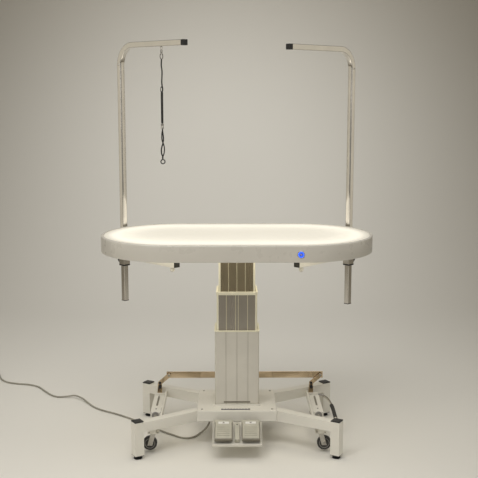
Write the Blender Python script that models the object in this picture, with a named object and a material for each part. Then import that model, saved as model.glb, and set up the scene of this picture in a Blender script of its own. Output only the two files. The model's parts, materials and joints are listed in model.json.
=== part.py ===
"""Electric pet grooming table: a lit racetrack top on a three-stage lifting column, with two
telescoping overhead arms, a hanging noose, a four-post base with lift-down casters and a foot switch.

Units are metres. +Z is up, the front of the table is -Y, and the origin is on the floor below its middle.
"""

import math

import bmesh
import bpy
from mathutils import Matrix, Vector

GAP = 0.0003  # clearance kept between faces that touch on the real table

# Tabletop
TOP_HALF_LENGTH = 0.600
TOP_HALF_WIDTH = 0.330
TOP_Z = 0.937
APRON_BOTTOM = 0.865
RIM_WALL = 0.012
PANEL_THICK = 0.008
PANEL_DROP = 0.002
BED_THICK = 0.003
BUTTON_X = 0.262
BUTTON_Z = 0.8985
BEZEL_R = 0.015
BUTTON_R = 0.0105

# Column stages as (width, depth, wall, bottom, top)
OUTER = (0.197, 0.150, 0.004, 0.1685, 0.506)
MIDDLE = (0.180, 0.134, 0.0035, 0.322, 0.671)
INNER = (0.162, 0.118, 0.0035, 0.470, 0.8645)
TRIM_HEIGHTS = (0.006, 0.015)
SPINDLE_R = 0.009
SPINDLE_TOP = 0.560

# Base
BOX_SIZE = (0.352, 0.300)
BOX_BOTTOM = 0.119
BOX_TOP = 0.168
BOX_WALL = 0.003
POST = Vector((0.427, 0.270))
POST_SIDE = 0.041
POST_BOTTOM = 0.016
POST_TOP = 0.164
ARM_ROOT = Vector((0.180, 0.1245))
ARM_WIDTH = 0.040
ARM_Z_ROOT = (0.1185, 0.1665)
ARM_Z_END = (0.1205, 0.1615)
FOOT_R = 0.018

# Caster lift: parallel cranks joined by a flat bar push two caster beams down
BEAM_X = 0.365
BEAM_HALF = (0.012, 0.226)
BEAM_Z = (0.0925, 0.1120)
CASTER_Y = 0.196
PLATE_HALF = 0.024
PLATE_THICK = 0.003
WHEEL_R = 0.031
WHEEL_WIDTH = 0.022
AXLE_Z = 0.041
TRAIL = 0.016
RAIL_X = 0.335
RAIL_HALF_Y = 0.1895
RAIL_Z = (0.122, 0.152)
CRANK_Y = 0.178
CRANK_X = (-0.366, 0.352)
CRANK_Z = 0.130
CRANK_REACH = Vector((0.045, 0.0995))
CRANK_ELBOW = Vector((0.002, 0.062))
CRANK_THICK = 0.005
BAR_Y = 0.1865
BAR_HEIGHT = 0.031
BAR_THICK = 0.005

# Overhead arms: each hangs on a 45 degree slider bar under the top
CORNER = 0.5 * math.sqrt(2)
ARM_X = 0.531
ARM_Y = 0.264
TUBE = 0.025
COLLAR = 0.036
COLLAR_BORE = 0.0258
COLLAR_Z = (0.745, 0.825)
ARM_BEND = 0.090
ARM_REACH = 0.444
ARM_SPAN = {"left": (0.575, 1.778), "right": (0.557, 1.760)}
SLEEVE_SIDE = 0.034
SLIDER_SIDE = 0.026
SLEEVE_Z = 0.799
SLEEVE_RUN = (0.052, 0.372)
SLIDER_END = 0.250

# Noose on the left arm
NOOSE_ALONG = 0.286
CLIP_LENGTH = 0.055
NOOSE_END_Z = 1.262
NOOSE_CORD_R = 0.003
RING_R = 0.011

# Foot switch
PEDAL_TILT = math.radians(20)
PEDAL_ORIGIN = Vector((0.0, -0.156, 0.1175))
TRAY_HALF_WIDTH = 0.107
TRAY_LENGTH = 0.158
PEDAL_X = 0.059
PEDAL_SIZE = (0.078, 0.118, 0.012)

# Mains lead
CORD_R = 0.004
GLAND = Vector((-0.120, 0.075))
GLAND_R = 0.010
GLAND_BOTTOM = 0.096
COIL_CENTRE = Vector((-1.425, 1.005))
COIL_R = 0.046
COIL_TUBE = 0.0088
PLUG_AT = Vector((-1.468, 1.052, 0.0175))

PAINT = ("painted_steel", (0.80, 0.77, 0.68), 0.38, 0.0)
LIT = ("lit_acrylic", (0.97, 0.95, 0.88), 0.35, 0.0)
SATIN = ("satin_aluminium", (0.62, 0.60, 0.54), 0.35, 1.0)
CHROME = ("chrome", (0.78, 0.76, 0.72), 0.08, 1.0)
BLACK = ("black_plastic", (0.02, 0.02, 0.02), 0.45, 0.0)
GREY = ("grey_plastic", (0.33, 0.31, 0.26), 0.5, 0.0)
BLUE = ("blue_button", (0.03, 0.08, 0.55), 0.25, 0.0)
CORD = ("cord_sheath", (0.18, 0.17, 0.13), 0.5, 0.0)
RUBBER = ("rubber", (0.10, 0.10, 0.10), 0.6, 0.0)


def clear_scene():
    for obj in list(bpy.data.objects):
        bpy.data.objects.remove(obj, do_unlink=True)


def material(spec):
    name, colour, roughness, metallic = spec
    found = bpy.data.materials.get(name)
    if found:
        return found
    made = bpy.data.materials.new(name)
    made.use_nodes = True
    shader = made.node_tree.nodes["Principled BSDF"]
    shader.inputs["Base Color"].default_value = (*colour, 1.0)
    shader.inputs["Roughness"].default_value = roughness
    shader.inputs["Metallic"].default_value = metallic
    return made


def new_object(name, bm, spec, location=(0, 0, 0), turn=0.0, smooth=False):
    """Turns a bmesh into an object whose local origin is at location, turned about Z."""
    bmesh.ops.recalc_face_normals(bm, faces=bm.faces)
    mesh = bpy.data.meshes.new(name)
    bm.to_mesh(mesh)
    bm.free()
    if smooth:
        mesh.shade_smooth()
        mesh.set_sharp_from_angle(angle=math.radians(35))
    obj = bpy.data.objects.new(name, mesh)
    obj.location = location
    obj.rotation_euler = (0.0, 0.0, turn)
    mesh.materials.append(material(spec))
    bpy.context.scene.collection.objects.link(obj)
    return obj


def loft(bm, loops):
    """Joins closed loops of equal length into one capped body."""
    rings = [[bm.verts.new(point) for point in loop] for loop in loops]
    for low, high in zip(rings, rings[1:]):
        for i, vert in enumerate(low):
            j = (i + 1) % len(low)
            bm.faces.new((vert, low[j], high[j], high[i]))
    bm.faces.new(list(reversed(rings[0])))
    bm.faces.new(rings[-1])
    return bm


def prism(name, outline, low, high, spec, **place):
    loops = [[(x, y, z) for x, y in outline] for z in (low, high)]
    return new_object(name, loft(bmesh.new(), loops), spec, **place)


def tube(name, outer, inner, low, high, spec, **place):
    """A ring between two outlines with the same number of points."""
    bm = bmesh.new()
    walls = []
    for outline in (outer, inner):
        walls.append([[bm.verts.new((x, y, z)) for x, y in outline] for z in (low, high)])
    (out_low, out_high), (in_low, in_high) = walls
    count = len(outer)
    for i in range(count):
        j = (i + 1) % count
        bm.faces.new((out_low[i], out_low[j], out_high[j], out_high[i]))
        bm.faces.new((in_low[j], in_low[i], in_high[i], in_high[j]))
        bm.faces.new((out_high[i], out_high[j], in_high[j], in_high[i]))
        bm.faces.new((out_low[j], out_low[i], in_low[i], in_low[j]))
    return new_object(name, bm, spec, **place)


def box(name, size, spec, location=(0, 0, 0), turn=0.0, tilt=0.0):
    bm = bmesh.new()
    bmesh.ops.create_cube(bm, size=1.0)
    bmesh.ops.scale(bm, vec=size, verts=bm.verts)
    obj = new_object(name, bm, spec, location, turn)
    obj.rotation_euler = (tilt, 0.0, turn)
    return obj


def turned(name, profile, spec, axis="Z", segments=28, **place):
    """Spins (radius, height) points, from one end of the axis to the other, about the given axis."""
    bm = bmesh.new()
    loops = []
    for radius, height in profile:
        angles = [2 * math.pi * k / segments for k in range(segments)]
        loops.append([(radius * math.cos(a), radius * math.sin(a), height) for a in angles])
    loft(bm, loops)
    if axis == "X":
        bmesh.ops.rotate(bm, matrix=Matrix.Rotation(math.pi / 2, 3, "Y"), verts=bm.verts)
    if axis == "Y":
        bmesh.ops.rotate(bm, matrix=Matrix.Rotation(-math.pi / 2, 3, "X"), verts=bm.verts)
    return new_object(name, bm, spec, smooth=True, **place)


def boolean(target, helper, operation):
    helper.hide_render = True
    helper.display_type = "WIRE"
    modifier = target.modifiers.new(operation.lower(), "BOOLEAN")
    modifier.operation = operation
    modifier.object = helper
    return target


def rectangle(width, depth):
    x, y = width / 2, depth / 2
    return [(-x, -y), (x, -y), (x, y), (-x, y)]


def racetrack(half_length, half_width, steps=20):
    """A straight-sided outline with half-circle ends."""
    centre = half_length - half_width
    points = []
    for side in (1, -1):
        for k in range(steps + 1):
            angle = math.pi * k / steps - side * math.pi / 2
            points.append((side * centre + half_width * math.cos(angle), half_width * math.sin(angle)))
    return points


def build_top():
    inner = (TOP_HALF_LENGTH - RIM_WALL, TOP_HALF_WIDTH - RIM_WALL)
    rim = tube("table_rim", racetrack(TOP_HALF_LENGTH, TOP_HALF_WIDTH), racetrack(*inner), APRON_BOTTOM, TOP_Z, PAINT)
    spot = (BUTTON_X, -TOP_HALF_WIDTH + RIM_WALL / 2, BUTTON_Z)
    reach = RIM_WALL
    bore = [(BEZEL_R + GAP, -reach), (BEZEL_R + GAP, reach)]
    boolean(rim, turned("button_bore", bore, PAINT, axis="Y", location=spot), "DIFFERENCE")
    panel = racetrack(inner[0] - 0.0005, inner[1] - 0.0005)
    panel_top = TOP_Z - PANEL_DROP
    prism("table_panel", panel, panel_top - PANEL_THICK, panel_top, LIT)
    prism("bed_plate", panel, APRON_BOTTOM + GAP, APRON_BOTTOM + BED_THICK, PAINT)
    tube("top_frame", rectangle(0.90, 0.40), rectangle(0.84, 0.34), 0.8685, 0.9265, PAINT)
    build_button()


def build_button():
    face = -TOP_HALF_WIDTH + 0.0004
    ring_in = BUTTON_R + 0.0005
    segments = 28
    circle = [(math.cos(2 * math.pi * k / segments), math.sin(2 * math.pi * k / segments)) for k in range(segments)]
    bezel = tube("button_bezel", [(BEZEL_R * x, BEZEL_R * y) for x, y in circle],
                 [(ring_in * x, ring_in * y) for x, y in circle], 0.0, 0.0127, CHROME,
                 location=(BUTTON_X, face + 0.009, BUTTON_Z))
    bezel.rotation_euler = (math.pi / 2, 0.0, 0.0)
    cap = [(BUTTON_R * 0.5, 0.0), (BUTTON_R, 0.0006), (BUTTON_R, 0.007)]
    turned("power_button", cap, BLUE, axis="Y", location=(BUTTON_X, face - 0.0020, BUTTON_Z))


def stage(name, size, spec):
    width, depth, wall, low, high = size
    tube(name, rectangle(width, depth), rectangle(width - 2 * wall, depth - 2 * wall), low, high, spec)


def build_column():
    stage("column_outer", OUTER, SATIN)
    stage("column_middle", MIDDLE, SATIN)
    stage("column_inner", INNER, SATIN)
    for name, lower, upper, height in (("trim_outer", OUTER, MIDDLE, TRIM_HEIGHTS[0]),
                                       ("trim_middle", MIDDLE, INNER, TRIM_HEIGHTS[1])):
        low = lower[4] + GAP
        tube(name, rectangle(lower[0] + 0.004, lower[1] + 0.004), rectangle(upper[0] + 0.0016, upper[1] + 0.0016),
             low, low + height, PAINT)
    turned("lift_spindle", [(SPINDLE_R, BOX_TOP + GAP), (SPINDLE_R, SPINDLE_TOP)], CHROME, segments=16)


def build_base():
    middle = (BOX_BOTTOM + BOX_TOP) / 2
    shell = box("base_box", (*BOX_SIZE, BOX_TOP - BOX_BOTTOM), PAINT, (0, 0, middle))
    hollow = (BOX_SIZE[0] - 2 * BOX_WALL, BOX_SIZE[1] - 2 * BOX_WALL, BOX_TOP - BOX_BOTTOM)
    boolean(shell, box("base_hollow", hollow, PAINT, (0, 0, middle - BOX_WALL)), "DIFFERENCE")
    cover = (hollow[0] - 0.001, hollow[1] - 0.001, 0.002)
    box("base_cover", cover, PAINT, (0, 0, BOX_BOTTOM + 0.0013))
    turned("lift_motor", [(0.038, 0.123), (0.038, 0.162)], BLACK, segments=24, location=(0, 0.02, 0))
    for depth, y_sign in (("front", -1), ("rear", 1)):
        for side, x_sign in (("left", -1), ("right", 1)):
            build_leg(f"{depth}_{side}", x_sign, y_sign)


def build_leg(suffix, x_sign, y_sign):
    """A tapering square arm that runs from the box's corner to a square post on a levelling foot."""
    root = Vector((ARM_ROOT.x * x_sign, ARM_ROOT.y * y_sign))
    post = Vector((POST.x * x_sign, POST.y * y_sign))
    along = (post - root).normalized()
    across = Vector((-along.y, along.x)) * ARM_WIDTH / 2
    start = Vector(((BOX_SIZE[0] / 2 + GAP) * x_sign, 0))
    loops = []
    for centre, heights, flush in ((root, ARM_Z_ROOT, True), (post, ARM_Z_END, False)):
        corners = [centre + across, centre - across]
        if flush:
            corners = [c + along * ((start.x - c.x) / along.x) for c in corners]
        low, high = heights
        loops.append([(*corners[0], low), (*corners[1], low), (*corners[1], high), (*corners[0], high)])
    bm = bmesh.new()
    loft(bm, loops)
    leg = new_object(f"leg_{suffix}", bm, PAINT)
    square = rectangle(POST_SIDE, POST_SIDE)
    helper = prism(f"post_{suffix}", square, POST_BOTTOM, POST_TOP, PAINT,
                   location=(*post, 0), turn=math.atan2(along.y, along.x))
    boolean(leg, helper, "UNION")
    foot = [(FOOT_R, 0.0), (FOOT_R, 0.005), (0.009, 0.009), (0.009, POST_BOTTOM - GAP)]
    turned(f"foot_{suffix}", foot, BLACK, segments=20, location=(*post, 0))


def build_caster_lift():
    for side, x_sign in (("left", -1), ("right", 1)):
        build_rail(side, x_sign)
        build_beam(side, x_sign)
        for depth, y_sign in (("front", -1), ("rear", 1)):
            build_caster(f"{depth}_{side}", x_sign * BEAM_X, y_sign * CASTER_Y, x_sign)
    for side, pivot_x in zip(("left", "right"), CRANK_X):
        build_crank(f"crank_{side}", pivot_x)
    ends = [x + CRANK_REACH.x for x in CRANK_X]
    size = (ends[1] - ends[0] + 0.024, BAR_THICK, BAR_HEIGHT)
    box("link_bar", size, CHROME, (sum(ends) / 2, BAR_Y, CRANK_Z + CRANK_REACH.y))
    build_lift_pedal()


def build_rail(side, x_sign):
    """The flat rail between a front and a rear leg, with the upright ear that its crank turns on."""
    size = (0.008, 2 * RAIL_HALF_Y, RAIL_Z[1] - RAIL_Z[0])
    rail = box(f"side_rail_{side}", size, PAINT, (x_sign * RAIL_X, 0, sum(RAIL_Z) / 2))
    ear = box(f"rail_ear_{side}", (0.056, 0.008, 0.030), PAINT, (x_sign * (RAIL_X + 0.024), 0.170, 0.130))
    boolean(rail, ear, "UNION")


def build_beam(side, x_sign):
    """A caster beam with a plate under each end."""
    height = BEAM_Z[1] - BEAM_Z[0]
    beam = box(f"caster_beam_{side}", (2 * BEAM_HALF[0], 2 * BEAM_HALF[1], height), PAINT,
               (x_sign * BEAM_X, 0, sum(BEAM_Z) / 2))
    for depth, y_sign in (("front", -1), ("rear", 1)):
        plate = box(f"plate_{depth}_{side}", (2 * PLATE_HALF, 2 * PLATE_HALF, PLATE_THICK + 0.001), PAINT,
                    (x_sign * BEAM_X, y_sign * CASTER_Y, BEAM_Z[0] - PLATE_THICK / 2 + 0.0005))
        boolean(beam, plate, "UNION")


def build_caster(suffix, x, y, x_sign):
    """A swivel fork bent from one strip, with its wheel trailing outwards."""
    top = BEAM_Z[0] - PLATE_THICK - GAP
    outer, inner, web = 0.0165, 0.0130, 0.0035
    strip = [(-outer, AXLE_Z - 0.008), (-inner, AXLE_Z - 0.008), (-inner, top - web), (inner, top - web),
             (inner, AXLE_Z - 0.008), (outer, AXLE_Z - 0.008), (outer, top), (-outer, top)]
    shift = x_sign * TRAIL
    bm = bmesh.new()
    loops = []
    for offset in (-0.011, 0.011):
        loops.append([(offset + shift * min(1, (top - z) / (top - AXLE_Z)), across, z) for across, z in strip])
    loft(bm, loops)
    new_object(f"caster_fork_{suffix}", bm, CHROME, location=(x, y, 0))
    half = WHEEL_WIDTH / 2
    profile = [(WHEEL_R - 0.004, -half), (WHEEL_R, -half + 0.004), (WHEEL_R, half - 0.004), (WHEEL_R - 0.004, half)]
    turned(f"caster_wheel_{suffix}", profile, RUBBER, axis="Y", segments=32, location=(x + shift, y, AXLE_Z))


def build_crank(name, pivot_x):
    """A flat lever with round ends: it rises from its pivot, then bends over towards +X."""
    upper = CRANK_REACH - CRANK_ELBOW
    low, high = math.atan2(CRANK_ELBOW.y, CRANK_ELBOW.x), math.atan2(upper.y, upper.x)
    middle = (low + high) / 2
    side = 0.0095 * Vector((-math.sin(middle), math.cos(middle))) / math.cos((low - high) / 2)
    outline = []
    for centre, radius, start, elbow in ((CRANK_REACH, 0.010, high - math.pi / 2, CRANK_ELBOW + side),
                                         (Vector((0.0, 0.0)), 0.0120, low + math.pi / 2, CRANK_ELBOW - side)):
        for k in range(9):
            angle = start + math.pi * k / 8
            outline.append((centre.x + radius * math.cos(angle), centre.y + radius * math.sin(angle)))
        outline.append(tuple(elbow))
    crank = prism(name, outline, -CRANK_THICK / 2, CRANK_THICK / 2, CHROME)
    crank.location = (pivot_x, CRANK_Y, CRANK_Z)
    crank.rotation_euler = (math.pi / 2, 0.0, 0.0)


def smooth_points(route, count, closed=False):
    """Reads evenly spaced points from a smooth curve through the route."""
    points = [Vector(p) for p in route]
    fine = []
    for i in range(len(points) - 1):
        before = points[max(i - 1, 0)]
        after = points[min(i + 2, len(points) - 1)]
        start, end = points[i], points[i + 1]
        for k in range(12):
            t = k / 12
            leave, arrive = (end - before) / 2, (after - start) / 2
            fine.append((2 * t**3 - 3 * t**2 + 1) * start + (t**3 - 2 * t**2 + t) * leave
                        + (3 * t**2 - 2 * t**3) * end + (t**3 - t**2) * arrive)
    fine.append(points[-1])
    lengths = [0.0]
    for a, b in zip(fine, fine[1:]):
        lengths.append(lengths[-1] + (b - a).length)
    picked = []
    place = 0
    for k in range(count):
        wanted = lengths[-1] * k / (count - 1)
        while place < len(fine) - 2 and lengths[place + 1] < wanted:
            place += 1
        share = (wanted - lengths[place]) / max(lengths[place + 1] - lengths[place], 1e-9)
        picked.append(fine[place].lerp(fine[place + 1], min(share, 1.0)))
    return picked


def round_tube(name, points, radius, spec, resolution=2):
    curve = bpy.data.curves.new(name, "CURVE")
    curve.dimensions = "3D"
    curve.bevel_depth = radius
    curve.bevel_resolution = resolution
    curve.use_fill_caps = True
    spline = curve.splines.new("POLY")
    spline.points.add(len(points) - 1)
    for slot, point in zip(spline.points, points):
        slot.co = (*point, 1.0)
    curve.materials.append(material(spec))
    obj = bpy.data.objects.new(name, curve)
    bpy.context.scene.collection.objects.link(obj)
    return obj


LIFT_PEDAL_ROUTE = [(0.371, 0.1862, 0.130), (0.390, 0.1862, 0.129), (0.412, 0.180, 0.126), (0.430, 0.155, 0.121),
                    (0.440, 0.115, 0.114), (0.446, 0.070, 0.104), (0.449, 0.025, 0.094), (0.450, -0.020, 0.088)]


def build_lift_pedal():
    """The bent rod that the foot presses to turn the right crank."""
    round_tube("lift_pedal_rod", smooth_points(LIFT_PEDAL_ROUTE, 22), 0.0055, CHROME)


def radial(x_sign, back):
    """The point that lies back metres inwards from an arm's axis, along its 45 degree line."""
    return Vector((x_sign * (ARM_X - back * CORNER), ARM_Y - back * CORNER))


def build_holder(side, x_sign):
    turn = math.atan2(-1, -x_sign)
    near, far = SLEEVE_RUN
    middle = radial(x_sign, (near + far) / 2)
    sleeve_name = f"bar_sleeve_{side}"
    across = SLEEVE_SIDE / 2
    bore = SLIDER_SIDE / 2 + 0.0005
    square = [(-across, -across), (across, -across), (across, across), (-across, across)]
    hole = [(-bore, -bore), (bore, -bore), (bore, bore), (-bore, bore)]
    sleeve = tube(sleeve_name, square, hole, -(far - near) / 2, (far - near) / 2, PAINT)
    sleeve.rotation_euler = (0.0, math.pi / 2, turn)
    sleeve.location = (*middle, SLEEVE_Z)
    hanger_low = SLEEVE_Z + across - 0.002
    hanger = box(f"hanger_{side}", (0.070, 0.040, APRON_BOTTOM - GAP - hanger_low), PAINT,
                 (*radial(x_sign, 0.250), (APRON_BOTTOM - GAP + hanger_low) / 2), turn=turn)
    boolean(sleeve, hanger, "UNION")
    collar = tube(f"arm_holder_{side}", rectangle(COLLAR, COLLAR), rectangle(COLLAR_BORE, COLLAR_BORE), *COLLAR_Z,
                  CHROME, location=(ARM_X * x_sign, ARM_Y, 0), turn=turn)
    run = SLIDER_END - COLLAR / 2 + 0.002
    bar = box(f"slider_{side}", (run, SLIDER_SIDE, SLIDER_SIDE), CHROME,
              (*radial(x_sign, COLLAR / 2 - 0.002 + run / 2), SLEEVE_Z), turn=turn)
    boolean(collar, bar, "UNION")
    build_knobs(side, x_sign, turn)


def build_knobs(side, x_sign, turn):
    spot = radial(x_sign, SLEEVE_RUN[1] - 0.030)
    top = SLEEVE_Z - SLEEVE_SIDE / 2 - GAP
    ball = [(0.003, top), (0.003, top - 0.003)]
    centre = top - 0.013
    for k in range(1, 9):
        angle = math.pi * k / 9
        ball.append((0.0105 * math.sin(angle), centre + 0.0105 * math.cos(angle)))
    turned(f"lock_knob_{side}", list(reversed(ball)), PAINT, segments=20, location=(*spot, 0))
    outside = radial(x_sign, -COLLAR / 2 - GAP)
    profile = [(0.004, 0.0), (0.004, 0.006), (0.012, 0.008), (0.012, 0.018), (0.009, 0.021)]
    knob = turned(f"clamp_knob_{side}", profile, BLACK, segments=20, location=(*outside, 0.768))
    knob.rotation_euler = (0.0, math.pi / 2, turn + math.pi)


def arm_path(side):
    """(distance inwards, height) points of the arm's centre line, with the direction at each."""
    low, top = ARM_SPAN[side]
    level = top - TUBE / 2
    path = [((0.0, low), (0.0, 1.0)), ((0.0, level - ARM_BEND), (0.0, 1.0))]
    for k in range(1, 9):
        angle = math.pi / 2 * k / 8
        path.append(((ARM_BEND * (1 - math.cos(angle)), level - ARM_BEND + ARM_BEND * math.sin(angle)),
                     (math.sin(angle), math.cos(angle))))
    path.append(((ARM_REACH, level), (1.0, 0.0)))
    return path


def build_arm(side, x_sign):
    """A square tube bent once, from below its collar up and in over the table."""
    half = TUBE / 2
    inward = Vector((-x_sign * CORNER, -CORNER, 0))
    up = Vector((0, 0, 1))
    sideways = inward.cross(up)
    loops = []
    for (inwards, height), (dx, dz) in arm_path(side):
        centre = inward * inwards + up * height
        normal = inward * dz - up * dx
        loops.append([centre + normal * a * half + sideways * b * half for a, b in ((1, 1), (1, -1), (-1, -1), (-1, 1))])
    new_object(f"arm_{side}", loft(bmesh.new(), loops), CHROME, location=(ARM_X * x_sign, ARM_Y, 0))


def build_noose():
    spot = radial(-1, NOOSE_ALONG)
    under = ARM_SPAN["left"][1] - TUBE - GAP
    eye = [(0.004, under - CLIP_LENGTH), (0.006, under - CLIP_LENGTH + 0.010), (0.004, under - 0.024),
           (0.005, under - 0.014), (0.002, under - 0.008)]
    turned("noose_clip", eye, CHROME, segments=16, location=(*spot, 0))
    top = under - CLIP_LENGTH - GAP
    count = 24
    points = [Vector((*spot, top + (NOOSE_END_Z - top) * k / (count - 1))) for k in range(count)]
    round_tube("noose_cord", points, NOOSE_CORD_R, BLACK)
    ring_top = NOOSE_END_Z - GAP
    ring = [(0.003, ring_top - 2 * RING_R), (RING_R, ring_top - RING_R * 1.3), (RING_R, ring_top - RING_R * 0.7),
            (0.003, ring_top)]
    turned("noose_ring", ring, CHROME, segments=20, location=(*spot, 0))


def build_foot_switch():
    slope = Matrix.Rotation(PEDAL_TILT, 3, "X")

    def placed(x, along, up):
        return PEDAL_ORIGIN + slope @ Vector((x, -along, up))

    half = TRAY_HALF_WIDTH
    profile = [(-half, 0.0), (half, 0.0), (half, 0.010), (half - 0.002, 0.010), (half - 0.002, 0.002),
               (-half + 0.002, 0.002), (-half + 0.002, 0.010), (-half, 0.010)]
    bm = bmesh.new()
    loft(bm, [[(x, -along, z) for x, z in profile] for along in (0.0, TRAY_LENGTH)])
    tray = new_object("pedal_tray", bm, PAINT, location=placed(0, 0, 0))
    tray.rotation_euler = (PEDAL_TILT, 0, 0)
    box("pedal_divider", (0.022, 0.112, 0.020), GREY, placed(0, 0.080, 0.0125), tilt=PEDAL_TILT)
    width, length, thick = PEDAL_SIZE
    for side, x_sign in (("left", -1), ("right", 1)):
        bm = bmesh.new()
        loft(bm, [[(x, 0.0, -thick / 2), (x, -length, -thick / 2), (x, -length, thick / 2), (x, -0.006, thick / 2)]
                  for x in (-width / 2, width / 2)])
        pedal = new_object(f"pedal_{side}", bm, GREY, location=placed(x_sign * PEDAL_X, 0.024, 0.0205))
        pedal.rotation_euler = (PEDAL_TILT, 0, 0)


CORD_ROUTE = [
    (-0.120, 0.075, 0.0957), (-0.120, 0.075, 0.075), (-0.123, 0.070, 0.050), (-0.134, 0.056, 0.026),
    (-0.150, 0.034, 0.012), (-0.170, 0.006, 0.0068), (-0.192, -0.030, 0.0048), (-0.222, -0.050, 0.0045),
    (-0.255, -0.040, 0.0045), (-0.300, -0.003, 0.0045), (-0.355, 0.048, 0.0045), (-0.420, 0.118, 0.0045),
    (-0.480, 0.178, 0.0045), (-0.535, 0.231, 0.0045), (-0.595, 0.280, 0.0045), (-0.660, 0.326, 0.0045),
    (-0.710, 0.376, 0.0045), (-0.752, 0.440, 0.006), (-0.790, 0.492, 0.012), (-0.832, 0.525, 0.014),
    (-0.880, 0.530, 0.007), (-0.925, 0.535, 0.0045), (-0.965, 0.570, 0.0045), (-1.005, 0.628, 0.0045),
    (-1.055, 0.700, 0.0045), (-1.115, 0.738, 0.0045), (-1.185, 0.756, 0.0045), (-1.245, 0.786, 0.0045),
    (-1.288, 0.845, 0.0045), (-1.318, 0.925, 0.0045), (-1.340, 0.975, 0.0045), (-1.3685, 1.005, 0.0045),
]


def build_mains_lead():
    box_under = BOX_BOTTOM - GAP
    gland = [(GLAND_R * 0.6, GLAND_BOTTOM), (GLAND_R, GLAND_BOTTOM + 0.012), (GLAND_R, box_under)]
    turned("cord_gland", gland, BLACK, segments=20, location=(*GLAND, 0))
    round_tube("mains_cord", smooth_points(CORD_ROUTE, 80), CORD_R, CORD)
    segments = 40
    bm = bmesh.new()
    rings = []
    for k in range(segments):
        angle = 2 * math.pi * k / segments
        out, rise = Vector((math.cos(angle), math.sin(angle), 0)), Vector((0, 0, 1))
        centre = Vector((*COIL_CENTRE, COIL_TUBE + GAP)) + out * COIL_R
        rings.append([bm.verts.new(centre + COIL_TUBE * (out * math.cos(b) + rise * math.sin(b)))
                      for b in [2 * math.pi * j / 10 + math.pi / 2 for j in range(10)]])
    for k in range(segments):
        low, high = rings[k], rings[(k + 1) % segments]
        for j in range(10):
            i = (j + 1) % 10
            bm.faces.new((low[j], low[i], high[i], high[j]))
    new_object("mains_coil", bm, CORD, smooth=True)
    plug = [(0.006, 0.0), (0.012, 0.010), (0.017, 0.022), (0.017, 0.036), (0.014, 0.038)]
    body = turned("mains_plug", plug, BLACK, segments=20, location=PLUG_AT)
    body.rotation_euler = (0.0, math.pi / 2, math.pi)
    for name, offset in (("plug_pin_near", -0.0095), ("plug_pin_far", 0.0095)):
        pin = turned(name, [(0.0024, 0.030), (0.0024, 0.0568)], CHROME, segments=12,
                     location=PLUG_AT + Vector((0, offset, 0)))
        pin.rotation_euler = (0.0, math.pi / 2, math.pi)
        boolean(body, pin, "UNION")


def build():
    clear_scene()
    build_top()
    build_column()
    build_base()
    build_caster_lift()
    for side, x_sign in (("left", -1), ("right", 1)):
        build_holder(side, x_sign)
        build_arm(side, x_sign)
    build_noose()
    build_foot_switch()
    build_mains_lead()


build()
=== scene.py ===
"""Looks of the electric grooming table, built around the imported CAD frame. Metres, +Z up, front is -Y."""

import json
import math

import bmesh
import bpy
from mathutils import Matrix, Vector


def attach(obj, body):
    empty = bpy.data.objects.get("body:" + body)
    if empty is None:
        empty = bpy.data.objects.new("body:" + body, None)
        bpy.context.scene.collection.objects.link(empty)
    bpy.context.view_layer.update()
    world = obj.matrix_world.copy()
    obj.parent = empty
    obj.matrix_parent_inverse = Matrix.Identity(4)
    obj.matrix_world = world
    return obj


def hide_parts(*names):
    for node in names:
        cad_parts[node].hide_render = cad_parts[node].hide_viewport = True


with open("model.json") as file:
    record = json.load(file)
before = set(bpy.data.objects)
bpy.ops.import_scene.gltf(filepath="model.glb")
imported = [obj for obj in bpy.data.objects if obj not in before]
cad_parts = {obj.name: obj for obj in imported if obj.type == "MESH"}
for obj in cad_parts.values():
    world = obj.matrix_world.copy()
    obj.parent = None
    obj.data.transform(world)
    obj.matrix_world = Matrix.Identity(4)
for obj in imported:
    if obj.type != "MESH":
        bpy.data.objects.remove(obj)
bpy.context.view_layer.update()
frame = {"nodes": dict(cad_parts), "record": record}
NODES = frame["nodes"]
BODY_OF = {node: body for body, nodes in frame["record"]["behaviour"]["bodies"].items() for node in nodes}
SIDES = (("left", -1), ("right", 1))
CORNERS = [(f"{depth}_{side}", x, y) for depth, y in (("front", -1), ("rear", 1)) for side, x in SIDES]
DIAGONAL = 0.5 * math.sqrt(2)


# ---------------------------------------------------------------- camera, light and floor

CAMERA_AT = Vector((-0.0216, -4.0666, 1.5573))
CAMERA_PITCH = math.radians(9.02)
CAMERA_YAW = math.radians(0.441)
CAMERA_LENS = 69.83


def make_camera():
    camera = bpy.data.objects.new("camera", bpy.data.cameras.new("camera"))
    bpy.context.scene.collection.objects.link(camera)
    camera.location = CAMERA_AT
    camera.rotation_euler = (math.pi / 2 - CAMERA_PITCH, 0.0, -CAMERA_YAW)
    camera.data.lens = CAMERA_LENS
    camera.data.sensor_width = 36.0
    bpy.context.scene.camera = camera


def area_light(name, place, target, size, power, colour=(1.0, 0.97, 0.92)):
    light = bpy.data.lights.new(name, "AREA")
    light.shape = "RECTANGLE"
    light.size, light.size_y = size
    light.energy = power
    light.color = colour
    obj = bpy.data.objects.new(name, light)
    obj.location = place
    obj.rotation_euler = (Vector(target) - Vector(place)).to_track_quat("-Z", "Y").to_euler()
    bpy.context.scene.collection.objects.link(obj)


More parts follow.
